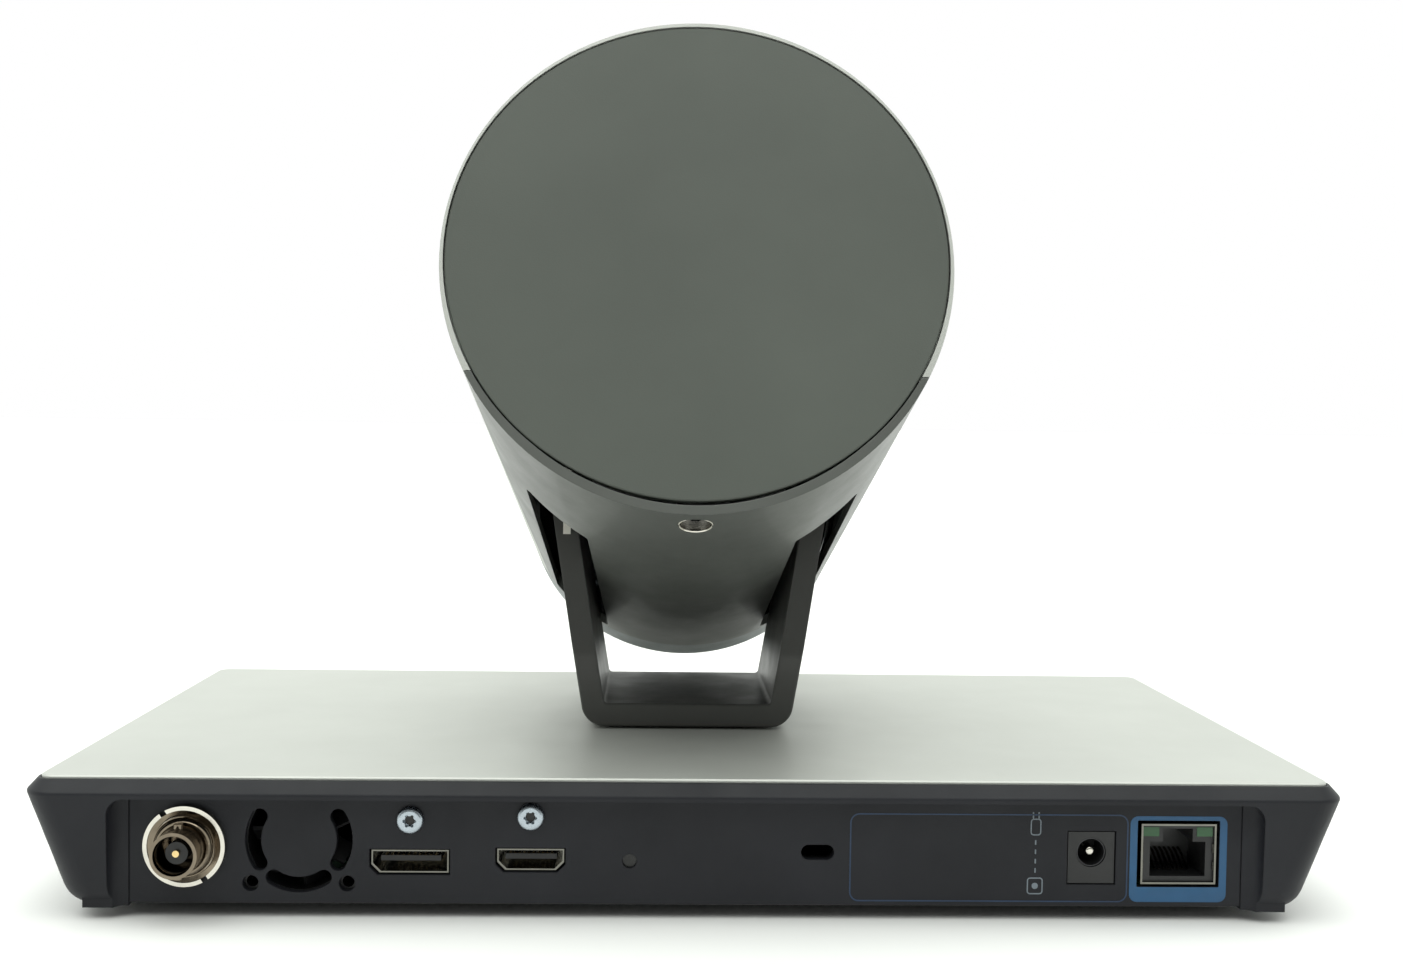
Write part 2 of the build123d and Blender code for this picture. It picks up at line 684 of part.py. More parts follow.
PAN_PHASE = 90 + 180 / PAN_PINION_TEETH
with BuildPart() as pan_pinion:
    with BuildSketch(Plane.XY.offset(GEAR_Z)):
        with Locations((0, MOTOR_Y)):
            Polygon(*gear_points(PAN_PINION_TEETH, GEAR_MODULE, PAN_PHASE), align=None)
    extrude(amount=GEAR_T)
    with BuildSketch(Plane.XY.offset(FLOOR_TOP + 3)):
        with Locations((0, MOTOR_Y)):
            Circle(PIN_R)
    extrude(amount=PLATE_Z - 0.5 - FLOOR_TOP - 3)
save(pan_pinion.part, "pan_pinion")

with BuildPart() as pan_motor:
    with BuildSketch(Plane.XY.offset(FLOOR_TOP)):
        with Locations((0, MOTOR_Y)):
            Circle(14)
    extrude(amount=8.8)
    with BuildSketch(Plane.XY.offset(FLOOR_TOP + 2.5)):
        with Locations((0, MOTOR_Y)):
            Circle(PIN_R + RUN)
    extrude(amount=8, mode=Mode.SUBTRACT)
    fillet(pan_motor.faces().sort_by(Axis.Z)[-1].outer_wire().edges(), 1)
save(pan_motor.part, "pan_motor")

# ---- yoke ----
LEAN = (ARM_X - ARM_FOOT_X) / (ARM_BEND_Z - YOKE_Z)
ARM_TOP = PIVOT_Z + HUB_R
ARM_IN = ARM_X - YOKE_T
TAPER_Z = 48.0             # the arms narrow above this height
with BuildPart() as yoke:
    with BuildSketch(Plane(origin=(0, PAN_Y + YOKE_D / 2, 0), x_dir=(1, 0, 0), z_dir=(0, -1, 0))):
        with BuildLine():
            Polyline(
                (0, YOKE_Z),
                (ARM_FOOT_X, YOKE_Z),
                (ARM_X, ARM_BEND_Z),
                (ARM_X, ARM_TOP),
                (ARM_IN, ARM_TOP),
                (ARM_IN, ARM_BEND_Z + 0.4),
                (ARM_FOOT_X - YOKE_T + YOKE_T * LEAN, YOKE_Z + YOKE_T),
                (0, YOKE_Z + YOKE_T),
                (0, YOKE_Z),
            )
        make_face()
        mirror(about=Plane.YZ)
    extrude(amount=YOKE_D)
    with BuildSketch(Plane.YZ.offset(-60)):
        with Locations((PAN_Y, (YOKE_Z + TAPER_Z) / 2)):
            Rectangle(YOKE_D, TAPER_Z - YOKE_Z)
        with Locations((PAN_Y, PIVOT_Z)):
            Circle(HUB_R)
        make_hull()
    extrude(amount=120, mode=Mode.INTERSECT)
    corners = yoke.edges().filter_by(Axis.Y).group_by(Axis.Z)
    fillet(corners[0], YOKE_CORNER)
    inner = yoke.edges().filter_by(Axis.Y).filter_by_position(
        Axis.Z, YOKE_Z + YOKE_T - 0.1, YOKE_Z + YOKE_T + 0.1)
    fillet(inner, 1.0)
    for face in yoke.faces().filter_by(Axis.Y):
        chamfer(face.edges(), YOKE_EDGE)
    with BuildSketch(Plane.YZ.offset(-60)):
        with Locations((PAN_Y, PIVOT_Z)):
            Circle(SHAFT_R)
    extrude(amount=120, mode=Mode.SUBTRACT)
save(yoke.part, "yoke")

for side, sign in (("left", 1), ("right", -1)):
    with BuildPart() as shaft:
        with BuildSketch(Plane.YZ.offset(sign * SIDE_X)):
            with Locations((PAN_Y, PIVOT_Z)):
                Circle(SHAFT_R)
        extrude(amount=sign * (ARM_X - SIDE_X))
        with BuildSketch(Plane.YZ.offset(sign * ARM_X)):
            with Locations((PAN_Y, PIVOT_Z)):
                Circle(6.5)
        extrude(amount=sign * 1.5)
    save(shaft.part, f"tilt_shaft_{side}")

STRAP_X = 29.0
with BuildPart() as cable_strap:
    rise = (TAPER_Z - PIVOT_Z) / (YOKE_D / 2 - HUB_R)
    foot_z = 77.0
    head_z = 98.0
    lean_y = [PAN_Y + YOKE_D / 2 + (z - TAPER_Z) / rise + 1.1 for z in (foot_z, head_z)]
    with BuildSketch(Plane.YZ.offset(STRAP_X)):
        with BuildLine():
            Polyline(
                (lean_y[0], foot_z),
                (lean_y[1], head_z),
                (lean_y[1] + 0.5, head_z),
                (lean_y[0] + 0.5, foot_z),
                (lean_y[0], foot_z),
            )
        make_face()
    extrude(amount=1.8)
save(cable_strap.part, "cable_strap")

# ---- tilt drive ----
TILT_GEAR_T = 3.0
with BuildPart() as tilt_gear:
    with BuildSketch(side_plane(-ARM_IN)):
        Polygon(*gear_points(TILT_TEETH, GEAR_MODULE, 0), align=None)
        Circle(SHAFT_R, mode=Mode.SUBTRACT)
    extrude(amount=TILT_GEAR_T)
save(tilt_gear.part, "tilt_gear")

TILT_REACH = GEAR_MODULE * (TILT_TEETH + TILT_PINION_TEETH) / 2 + GEAR_PLAY
TILT_PHASE = 180 + 180 / TILT_PINION_TEETH
with BuildPart() as tilt_pinion:
    with BuildSketch(side_plane(0.2 - ARM_IN)):
        with Locations((TILT_REACH, 0)):
            Polygon(*gear_points(TILT_PINION_TEETH, GEAR_MODULE, TILT_PHASE), align=None)
    extrude(amount=TILT_GEAR_T)
    with BuildSketch(side_plane(0.2 - ARM_IN)):
        with Locations((TILT_REACH, 0)):
            Circle(1.2)
    extrude(amount=ARM_IN - 12)
save(tilt_pinion.part, "tilt_pinion")

with BuildPart() as tilt_motor:
    with BuildSketch(side_plane(-SIDE_X)):
        with Locations((TILT_REACH, 0)):
            Circle(10)
    extrude(amount=13)
    with BuildSketch(side_plane(-SIDE_X)):
        with Locations((TILT_REACH, 0)):
            Circle(1.2 + RUN)
    extrude(amount=11, mode=Mode.SUBTRACT)
save(tilt_motor.part, "tilt_motor")

# ---- head: chassis ----
CHASSIS_REAR = 58.0
CHASSIS_FRONT = -47.0
SIDE_H = 20.5
BUSHING_R = 6.5
POST_S = 53.0
POST_R = 4.2
BELLY_IN = barrel_radius(POST_S) - BELLY_T
with BuildPart() as head_chassis:
    for inner_face in (SIDE_X, -SIDE_X - SIDE_T):
        with BuildSketch(side_plane(inner_face)):
            with Locations(((CHASSIS_REAR + CHASSIS_FRONT) / 2, 0)):
                Rectangle(CHASSIS_REAR - CHASSIS_FRONT, 2 * SIDE_H)
            Circle(BUSHING_R, mode=Mode.SUBTRACT)
            if inner_face < 0:
                with Locations((TILT_REACH, 0)):
                    Circle(1.2 + RUN, mode=Mode.SUBTRACT)
        extrude(amount=SIDE_T)
    with BuildSketch(under_plane(-SIDE_H - SIDE_T)):
        with Locations((0, -(CHASSIS_REAR + CHASSIS_FRONT) / 2)):
            Rectangle(2 * (SIDE_X + SIDE_T), CHASSIS_REAR - CHASSIS_FRONT)
    extrude(amount=SIDE_T)
    with BuildSketch(barrel_plane(CHASSIS_REAR - SIDE_T)):
        Rectangle(2 * (SIDE_X + SIDE_T), 2 * SIDE_H)
    extrude(amount=SIDE_T)
    with BuildSketch(under_plane(-SIDE_H - SIDE_T)):
        with Locations((0, -POST_S)):
            Circle(POST_R)
    extrude(amount=SIDE_H + SIDE_T + 0.4 - BELLY_IN)
save(head_chassis.part, "head_chassis")

for side, x in (("left", SIDE_X - 0.2), ("right", -SIDE_X - SIDE_T - 0.8)):
    with BuildPart() as bushing:
        with BuildSketch(side_plane(x)):
            Circle(BUSHING_R)
            Circle(SHAFT_R + RUN, mode=Mode.SUBTRACT)
        extrude(amount=3)
    save(bushing.part, f"tilt_bushing_{side}")

# ---- head: skins ----
SEAT_R = COVER_R + 0.35


def barrel_shell(front, rear, wall):
    """Side section of the conical barrel wall between two distances along its axis."""
    return [
        (front, barrel_radius(front)),
        (rear, barrel_radius(rear)),
        (rear, barrel_radius(rear) - wall),
        (front, barrel_radius(front) - wall),
    ]


with BuildPart() as sleeve:
    with BuildSketch(side_plane(0)):
        Polygon(*barrel_shell(-RING_S, 90, SLEEVE_T), align=None)
    revolve(axis=Axis(head_point(0, 0), BACK))
    split(bisect_by=rear_plane(0), keep=Keep.BOTTOM)
    split(bisect_by=under_plane(PARTING_U + 0.1), keep=Keep.TOP)
    with BuildSketch(rear_plane(0)):
        Circle(SEAT_R)
    extrude(amount=-COVER_T, mode=Mode.SUBTRACT)
save(sleeve.part, "sleeve")

SLOT_CORNERS = (           # outline of each arm slot: distance from the middle, and along the barrel
    (23.9, 24.9),
    (38.0, 30.5),
    (35.2, SLOT_FRONT),
    (20.8, SLOT_FRONT),
)
with BuildPart() as belly_cover:
    with BuildSketch(side_plane(0)):
        Polygon(*barrel_shell(-RING_S, 90, BELLY_T), align=None)
    revolve(axis=Axis(head_point(0, 0), BACK))
    split(bisect_by=rear_plane(0), keep=Keep.BOTTOM)
    split(bisect_by=under_plane(PARTING_U - 0.1), keep=Keep.BOTTOM)
    with BuildSketch(rear_plane(0)):
        Circle(SEAT_R)
    extrude(amount=-COVER_T, mode=Mode.SUBTRACT)
    for sign in (-1, 1):
        with BuildSketch(under_plane(PARTING_U)) as slot:
            Polygon(*[(sign * x, -s) for x, s in SLOT_CORNERS], align=None)
            fillet(slot.vertices(), 1.0)
        extrude(amount=-60, mode=Mode.SUBTRACT)
    with BuildSketch(under_plane(-SIDE_H - 5)):
        with Locations((0, -POST_S)):
            Circle(BELLY_HOLE_R)
    extrude(amount=-60, mode=Mode.SUBTRACT)
save(belly_cover.part, "belly_cover")

with BuildPart() as belly_screw:
    with BuildSketch(under_plane(0.4 - BELLY_IN)):
        with Locations((0, -POST_S)):
            Circle(3.3)
            RegularPolygon(1.5, 6, mode=Mode.SUBTRACT)
    extrude(amount=-0.9)
    with BuildSketch(under_plane(0.4 - BELLY_IN)):
        with Locations((0, -POST_S)):
            Circle(3.3)
    extrude(amount=-0.3)
save(belly_screw.part, "belly_screw")

with BuildPart() as rear_cover:
    with BuildSketch(rear_plane(COVER_T)):
        Circle(COVER_R)
    extrude(amount=COVER_T)
    chamfer(rear_cover.edges().sort_by(Axis.Y)[-1:], 0.25)
    with BuildSketch(barrel_plane(CHASSIS_REAR)):
        with GridLocations(32, 24, 2, 2):
            Circle(3)
    extrude(amount=16)
    split(bisect_by=rear_plane(0), keep=Keep.BOTTOM)
save(rear_cover.part, "rear_cover")

# ---- head: front ----
RING_T = 2.6
MASK_R = 41.75
MASK_S = 59.5
with BuildPart() as front_ring:
    with BuildSketch(side_plane(0)):
        Polygon(*barrel_shell(-FRONT_S, -RING_S, RING_T), align=None)
    revolve(axis=Axis(head_point(0, 0), BACK))
    fillet(front_ring.edges().filter_by(GeomType.CIRCLE).sort_by(Axis.Y)[0], 0.8)
save(front_ring.part, "front_ring")

with BuildPart() as front_mask:
    with BuildSketch(barrel_plane(-MASK_S)):
        Circle(MASK_R)
        Circle(18.2, mode=Mode.SUBTRACT)
    extrude(amount=2.2)
save(front_mask.part, "front_mask")

# ---- lens ----
TUBE_FRONT = -MASK_S + 2.2
TUBE_REAR = 1.0
ROD_R = 0.8
ROD_AT = 14.9
LENS_BORE = LENS_R - 2


with BuildPart() as lens_tube:
    with BuildSketch(barrel_plane(TUBE_FRONT)):
        Circle(LENS_R)
        Circle(LENS_BORE, mode=Mode.SUBTRACT)
    extrude(amount=TUBE_REAR - TUBE_FRONT)
save(lens_tube.part, "lens_tube")

with BuildPart() as front_lens:
    with BuildSketch(side_plane(0)):
        with BuildLine():
            ThreePointArc((-MASK_S - 0.8, 0), (-MASK_S + 0.3, 9.0), (TUBE_FRONT + 1.2, 17.9))
            Polyline((TUBE_FRONT + 1.2, 17.9), (TUBE_FRONT + 5, 17.9), (TUBE_FRONT + 5, 0),
                     (-MASK_S - 0.8, 0))
        make_face()
    revolve(axis=Axis(head_point(0, 0), BACK))
save(front_lens.part, "front_lens")

with BuildPart() as lens_rods:
    with BuildSketch(barrel_plane(TUBE_FRONT + 5.2)):
        with PolarLocations(ROD_AT, 2, start_angle=90):
            Circle(ROD_R)
    extrude(amount=TUBE_REAR - TUBE_FRONT - 5.2)
save(lens_rods.part, "lens_rods")


def lens_group(name, front, length, glass_r):
    with BuildPart() as carrier:
        with BuildSketch(barrel_plane(front)):
            Circle(LENS_BORE - 0.6)
            Circle(glass_r, mode=Mode.SUBTRACT)
            with PolarLocations(ROD_AT, 2, start_angle=90):
                Circle(ROD_R + RUN, mode=Mode.SUBTRACT)
        extrude(amount=length)
    save(carrier.part, f"{name}_carrier")
    with BuildPart() as glass:
        with BuildSketch(side_plane(0)):
            with BuildLine():
                ThreePointArc((front, 0), (front + 0.4, glass_r / 2), (front + 1.6, glass_r))
                Polyline((front + 1.6, glass_r), (front + length - 1, glass_r),
                         (front + length - 1, 0), (front, 0))
            make_face()
        revolve(axis=Axis(head_point(0, 0), BACK))
    save(glass.part, f"{name}_glass")


lens_group("zoom", -44.0, 8.0, 12.5)
lens_group("focus", -16.0, 6.0, 11.0)

with BuildPart() as sensor_board:
    with BuildSketch(barrel_plane(TUBE_REAR)):
        Rectangle(38, 34)
    extrude(amount=1.6)
    with BuildSketch(barrel_plane(TUBE_REAR - 2)):
        Rectangle(12, 9)
    extrude(amount=2)
save(sensor_board.part, "sensor_board")

with BuildPart() as head_board:
    with BuildSketch(barrel_plane(38)):
        with Locations((0, 2)):
            Rectangle(42, 38)
    extrude(amount=1.6)
    with BuildSketch(barrel_plane(39.6)):
        with Locations((-8, 4)):
            Rectangle(16, 16)
    extrude(amount=2)
save(head_board.part, "head_board")
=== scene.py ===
import json
import math

import bmesh
import bpy
from mathutils import Matrix, Vector


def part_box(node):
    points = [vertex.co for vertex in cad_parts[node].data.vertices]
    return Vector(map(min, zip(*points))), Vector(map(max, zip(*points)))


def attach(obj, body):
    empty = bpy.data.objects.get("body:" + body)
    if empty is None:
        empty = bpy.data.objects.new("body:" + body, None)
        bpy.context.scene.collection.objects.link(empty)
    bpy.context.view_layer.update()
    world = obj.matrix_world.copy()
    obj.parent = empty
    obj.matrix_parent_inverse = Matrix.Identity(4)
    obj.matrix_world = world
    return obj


# A conference camera on a slab base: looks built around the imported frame, in metres.
# The connector panel faces +Y, the lens looks towards -Y and down, and +Z is up.

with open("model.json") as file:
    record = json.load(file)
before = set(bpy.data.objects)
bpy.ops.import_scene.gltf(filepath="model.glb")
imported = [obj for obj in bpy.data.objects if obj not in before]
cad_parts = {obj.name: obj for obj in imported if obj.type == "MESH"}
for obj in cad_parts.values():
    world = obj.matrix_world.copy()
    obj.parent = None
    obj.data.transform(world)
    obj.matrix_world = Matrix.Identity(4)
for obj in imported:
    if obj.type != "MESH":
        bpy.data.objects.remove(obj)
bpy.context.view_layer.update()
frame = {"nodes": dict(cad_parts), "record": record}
MM = 0.001
joints = {joint["name"]: joint for joint in frame["record"]["behaviour"]["joints"]}
PIVOT = Vector(joints["tilt"]["pos_m"])
BARREL = Vector(joints["zoom_slide"]["axis"]).normalized()     # along the head, towards its rear
ACROSS = Vector((1, 0, 0))
RISE = ACROSS.cross(BARREL)                                    # out of the top of the head


def centre_of(node):
    low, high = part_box(node)
    return (low + high) / 2


# ---- node helpers ----
def add(tree, kind, **values):
    node = tree.nodes.new(kind)
    for key, value in values.items():
        if key in node.inputs:
            node.inputs[key].default_value = value
        else:
            setattr(node, key, value)
    return node


def place_noise(tree, scale, detail=3.0, stretch=(1, 1, 1), roughness=0.5):
    """Noise in the object's own metres; scale is in cells per metre."""
    where = tree.nodes.get("where") or add(tree, "ShaderNodeTexCoord", name="where")
    mapping = add(tree, "ShaderNodeMapping")
    mapping.inputs["Scale"].default_value = stretch
    tree.links.new(where.outputs["Object"], mapping.inputs["Vector"])
    noise = add(tree, "ShaderNodeTexNoise", Scale=scale, Detail=detail, Roughness=roughness)
    tree.links.new(mapping.outputs["Vector"], noise.inputs["Vector"])
    return noise.outputs["Fac"]


def spread(tree, value, low, high):
    """A noise value turned into the range from low to high."""
    ramp = add(tree, "ShaderNodeMapRange")
    ramp.inputs["From Min"].default_value = 0.3
    ramp.inputs["From Max"].default_value = 0.7
    ramp.inputs["To Min"].default_value = low
    ramp.inputs["To Max"].default_value = high
    tree.links.new(value, ramp.inputs["Value"])
    return ramp.outputs["Result"]


def tint(tree, value, dark, light):
    mix = add(tree, "ShaderNodeMix", data_type="RGBA")
    mix.inputs["A"].default_value = (*dark, 1)
    mix.inputs["B"].default_value = (*light, 1)
    tree.links.new(value, mix.inputs["Factor"])
    return mix.outputs["Result"]


def shade(colour, by):
    return tuple(min(1.0, max(0.0, channel * by)) for channel in colour)


def surface(name, colour, rough, metal=0.0, vary=0.12, patch=60.0, rough_vary=0.06, grain=0.0,
            grain_scale=3500.0, stretch=(1, 1, 1), coat=0.0, specular=0.5, edge=0.0):
    """A procedural material: patchy colour and roughness, a fine grain as bump, soft edges."""
    made = bpy.data.materials.new(name)
    made.use_nodes = True
    tree = made.node_tree
    shader = tree.nodes["Principled BSDF"]
    shader.inputs["Metallic"].default_value = metal
    shader.inputs["Coat Weight"].default_value = coat
    shader.inputs["Specular IOR Level"].default_value = specular
    blotch = spread(tree, place_noise(tree, patch, 4.0, stretch), 0.0, 1.0)
    tree.links.new(tint(tree, blotch, shade(colour, 1 - vary), shade(colour, 1 + vary)),
                   shader.inputs["Base Color"])
    wander = place_noise(tree, patch * 2.7, 5.0, stretch, 0.6)
    tree.links.new(spread(tree, wander, rough - rough_vary, rough + rough_vary),
                   shader.inputs["Roughness"])
    if grain or edge:
        bump = add(tree, "ShaderNodeBump", Strength=min(1.0, grain or 1.0), Distance=0.00006)
        if grain:
            tree.links.new(place_noise(tree, grain_scale, 2.0, stretch), bump.inputs["Height"])
        if edge:
            soft = add(tree, "ShaderNodeBevel", Radius=edge, samples=4)
            tree.links.new(soft.outputs["Normal"], bump.inputs["Normal"])
        tree.links.new(bump.outputs["Normal"], shader.inputs["Normal"])
    return made


def glassy(name, colour, rough, alpha):
    made = surface(name, colour, rough, vary=0.05)
    shader = made.node_tree.nodes["Principled BSDF"]
    shader.inputs["Transmission Weight"].default_value = alpha
    shader.inputs["IOR"].default_value = 1.5
    return made


LOOKS = {
    "silver_plate": surface("silver_plate", (0.5, 0.51, 0.485), 0.46, 0.5, vary=0.03, patch=25,
                            rough_vary=0.03, grain=0.35, grain_scale=5200),
    "front_trim": surface("front_trim", (0.16, 0.18, 0.185), 0.42, 0.9, vary=0.03, grain=0.2),
    "dark_shell": surface("dark_shell", (0.0150, 0.0155, 0.0195), 0.47, vary=0.14, patch=35,
                          grain=0.3, grain_scale=2600, specular=0.25, edge=0.0004),
    "rear_disc": surface("rear_disc", (0.076, 0.085, 0.074), 0.55, vary=0.1, patch=18,
                         grain=0.35, grain_scale=3000),
    "yoke_paint": surface("yoke_paint", (0.046, 0.046, 0.043), 0.42, vary=0.12, patch=40,
                          grain=0.3, grain_scale=2600, edge=0.0005),
    "belly_paint": surface("belly_paint", (0.085, 0.09, 0.083), 0.42, vary=0.1, patch=30,
                           grain=0.25, grain_scale=2600, coat=0.1, edge=0.0003),
    "floor_steel": surface("floor_steel", (0.08, 0.08, 0.085), 0.42, 0.9, vary=0.1, grain=0.2),
    "screw_steel": surface("screw_steel", (0.42, 0.47, 0.52), 0.26, 1.0, vary=0.06, patch=500,
                           grain=0.2),
    "dark_screw": surface("dark_screw", (0.09, 0.09, 0.09), 0.3, 0.9, vary=0.1, patch=500),
    "brass_part": surface("brass_part", (0.78, 0.58, 0.28), 0.24, 1.0, vary=0.06, patch=400),
    "nickel": surface("nickel", (0.66, 0.63, 0.57), 0.16, 1.0, vary=0.08, patch=300,
                      rough_vary=0.05),
    # painted shade: a darker copy of nickel that stands in for the shade deep inside the sockets
    "nickel_painted_shade": surface("nickel_painted_shade", (0.2, 0.165, 0.125), 0.13, 1.0, vary=0.15,
                             patch=300, rough_vary=0.04),
    "socket_metal": surface("socket_metal", (0.19, 0.185, 0.165), 0.13, 1.0, vary=0.1, patch=300,
                            grain=0.15, stretch=(1, 6, 1)),
    "black_insert": surface("black_insert", (0.012, 0.012, 0.013), 0.38, vary=0.15, patch=120,
                            grain=0.2),
    "light_window": surface("light_window", (0.02, 0.09, 0.03), 0.2, vary=0.1, patch=300),
    "status_window": surface("status_window", (0.004, 0.004, 0.004), 0.3, vary=0.1, patch=300),
    "print_blue": surface("print_blue", (0.012, 0.085, 0.2), 0.4, vary=0.08, patch=150),
    "print_line": surface("print_line", (0.012, 0.035, 0.085), 0.45, vary=0.15, patch=150),
    "print_grey": surface("print_grey", (0.16, 0.19, 0.22), 0.45, vary=0.12, patch=200),
    "strap_tape": surface("strap_tape", (0.8, 0.78, 0.7), 0.4, 0.2, vary=0.06, patch=300),
    "board": surface("board", (0.02, 0.09, 0.04), 0.3, vary=0.2, patch=250, coat=0.3),
    "cast_frame": surface("cast_frame", (0.42, 0.42, 0.43), 0.5, 0.9, vary=0.08, patch=120,
                          grain=0.4, grain_scale=1500),
    "gear_plastic": surface("gear_plastic", (0.8, 0.78, 0.7), 0.4, vary=0.04, patch=100),
    "motor_case": surface("motor_case", (0.4, 0.4, 0.42), 0.3, 1.0, vary=0.06, patch=200),
    "front_black": surface("front_black", (0.006, 0.006, 0.008), 0.08, vary=0.1, coat=1.0),
    "lens_black": surface("lens_black", (0.012, 0.012, 0.012), 0.45, vary=0.1, grain=0.2),
    "lens_glass": glassy("lens_glass", (0.75, 0.82, 0.9), 0.02, 0.95),
    "foot_rubber": surface("foot_rubber", (0.02, 0.02, 0.02), 0.75, vary=0.15, grain=0.5,
                           grain_scale=1800),
}
OWN_LOOK = {
    "belly_cover": "belly_paint",
    # painted shade: the coaxial barrel gets the darker copy of nickel
    "coax_body": "nickel_painted_shade",
    "cable_strap": "strap_tape",
}

slot_of = {part["node"]: part["material_slot"] for part in frame["record"]["subparts"]}
for node, shown in frame["nodes"].items():
    shown.data.materials.clear()
    shown.data.materials.append(LOOKS[OWN_LOOK.get(node, slot_of[node])])

# ---- camera ----
camera = bpy.data.objects.new("camera", bpy.data.cameras.new("camera"))
bpy.context.collection.objects.link(camera)
bpy.context.scene.camera = camera
camera.data.lens = 39.47
camera.data.sensor_width = 36.0
camera.location = (0.00925, 0.3872, 0.1051)
YAW = 0.032                # radians, from looking straight along -Y
PITCH = 0.040              # downwards
ROLL = 0.014
level = math.cos(PITCH)
towards = Vector((-math.sin(YAW) * level, -math.cos(YAW) * level, -math.sin(PITCH)))
upright = towards.to_track_quat("-Z", "Y")
camera.rotation_mode = "QUATERNION"
camera.rotation_quaternion = upright @ Matrix.Rotation(ROLL, 3, "Z").to_quaternion()

# ---- mesh helpers ----
def piece(name, mesh, look, body, soften=0.0, smooth=True):
    """A finished piece: material and body, with its sharp edges softened when soften is set."""
    made = bpy.data.objects.new(name, mesh)
    bpy.context.collection.objects.link(made)
    mesh.materials.append(LOOKS[look])
    if soften:
        bevel = made.modifiers.new("soften", "BEVEL")
        bevel.width = soften
        bevel.segments = 2
        bevel.limit_method = "ANGLE"
    for face in mesh.polygons:
        face.use_smooth = smooth
    mesh.set_sharp_from_angle(angle=math.radians(35))
    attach(made, body)
    return made


def from_bmesh(name, built):
    bmesh.ops.recalc_face_normals(built, faces=built.faces)
    mesh = bpy.data.meshes.new(name)
    built.to_mesh(mesh)
    built.free()
    return mesh


def rounded_rectangle(centre, width, height, radius, steps=6):
    """Outline on the panel, as (x, z) points."""
    points = []
    for corner in range(4):
        turn = corner * math.pi / 2
        sign_x = (1, -1, -1, 1)[corner]
        sign_z = (1, 1, -1, -1)[corner]
        middle = (centre[0] + sign_x * (width / 2 - radius), centre[1] + sign_z * (height / 2 - radius))
        for step in range(steps + 1):
            angle = turn + step / steps * math.pi / 2
            points.append((middle[0] + radius * math.cos(angle), middle[1] + radius * math.sin(angle)))
    return points


def add_frame(built, outer, inner, back, front):
    """A flat frame between two outlines with as many points, from y = back to y = front."""
    rings = [[built.verts.new((x, y, z)) for x, z in outline]
             for outline, y in ((outer, back), (outer, front), (inner, front), (inner, back))]
    count = len(outer)
    for near, far in zip(rings, rings[1:] + rings[:1]):
        for i in range(count):
            j = (i + 1) % count
            built.faces.new((near[i], near[j], far[j], far[i]))


def add_tile(built, outline, back, front):
    """A flat solid plate with that outline."""
    low = [built.verts.new((x, back, z)) for x, z in outline]
    high = [built.verts.new((x, front, z)) for x, z in outline]
    built.faces.new(low)
    built.faces.new(high)
    for i in range(len(outline)):
        j = (i + 1) % len(outline)
        built.faces.new((low[i], low[j], high[j], high[i]))


def add_ribbon(built, path, width_axis, width, thick):
    """A strip of metal along a path of points, width wide along width_axis."""
    half = Vector(width_axis).normalized() * width / 2
    rings = []
    for i, point in enumerate(path):
        before = Vector(path[max(i - 1, 0)])
        after = Vector(path[min(i + 1, len(path) - 1)])
        along = (after - before).normalized()
        out = along.cross(half).normalized() * thick / 2
        point = Vector(point)
        rings.append([built.verts.new(point + side) for side in
                      (half + out, half - out, -half - out, -half + out)])
    for near, far in zip(rings, rings[1:]):
        for i in range(4):
            j = (i + 1) % 4
            built.faces.new((near[i], near[j], far[j], far[i]))
    built.faces.new(rings[0])
    built.faces.new(rings[-1])


def lathe(name, profile, origin, axis, steps=128):
    """Turns a closed profile of (distance along the axis, radius) points round an axis."""
    axis = Vector(axis).normalized()
    side = axis.orthogonal().normalized()
    other = axis.cross(side)
    built = bmesh.new()
    rings = []
    for step in range(steps):
        angle = 2 * math.pi * step / steps
        out = side * math.cos(angle) + other * math.sin(angle)
        rings.append([built.verts.new(Vector(origin) + axis * along + out * radius)
                      for along, radius in profile])
    count = len(profile)
    for step in range(steps):
        near = rings[step]
        far = rings[(step + 1) % steps]
        for i in range(count):
            j = (i + 1) % count
            built.faces.new((near[i], near[j], far[j], far[i]))
    return from_bmesh(name, built)


# ---- prints on the connector panel ----
PANEL_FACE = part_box("rear_panel")[1].y
PRINT = 0.05 * MM          # thickness of the ink
port = centre_of("network_shield")
inlet = centre_of("power_housing")
lock = centre_of("lock_plate")


def printed(name, look, fill):
    built = bmesh.new()
    fill(built)
    return piece(name, from_bmesh(name, built), look, "base", smooth=False)


def network_print(built):
    outer_w = 20.8 * MM
    outer_h = 18.4 * MM
    drop = 1.15 * MM
    outer = rounded_rectangle((port.x, port.z - drop), outer_w, outer_h, 1.7 * MM)
    inner = rounded_rectangle((port.x, port.z), 17.7 * MM, 14.3 * MM, 0.3 * MM)
    add_frame(built, outer, inner, PANEL_FACE, PANEL_FACE + PRINT)


def label_print(built):
    left = lock.x - 6.8 * MM
    right = port.x + 10.8 * MM
    centre = ((left + right) / 2, port.z - 1.05 * MM)
    width = left - right
    height = 18.8 * MM
    line = 0.28 * MM
    outer = rounded_rectangle(centre, width, height, 2 * MM)
    inner = rounded_rectangle(centre, width - 2 * line, height - 2 * line, 2 * MM - line)
    add_frame(built, outer, inner, PANEL_FACE, PANEL_FACE + PRINT)


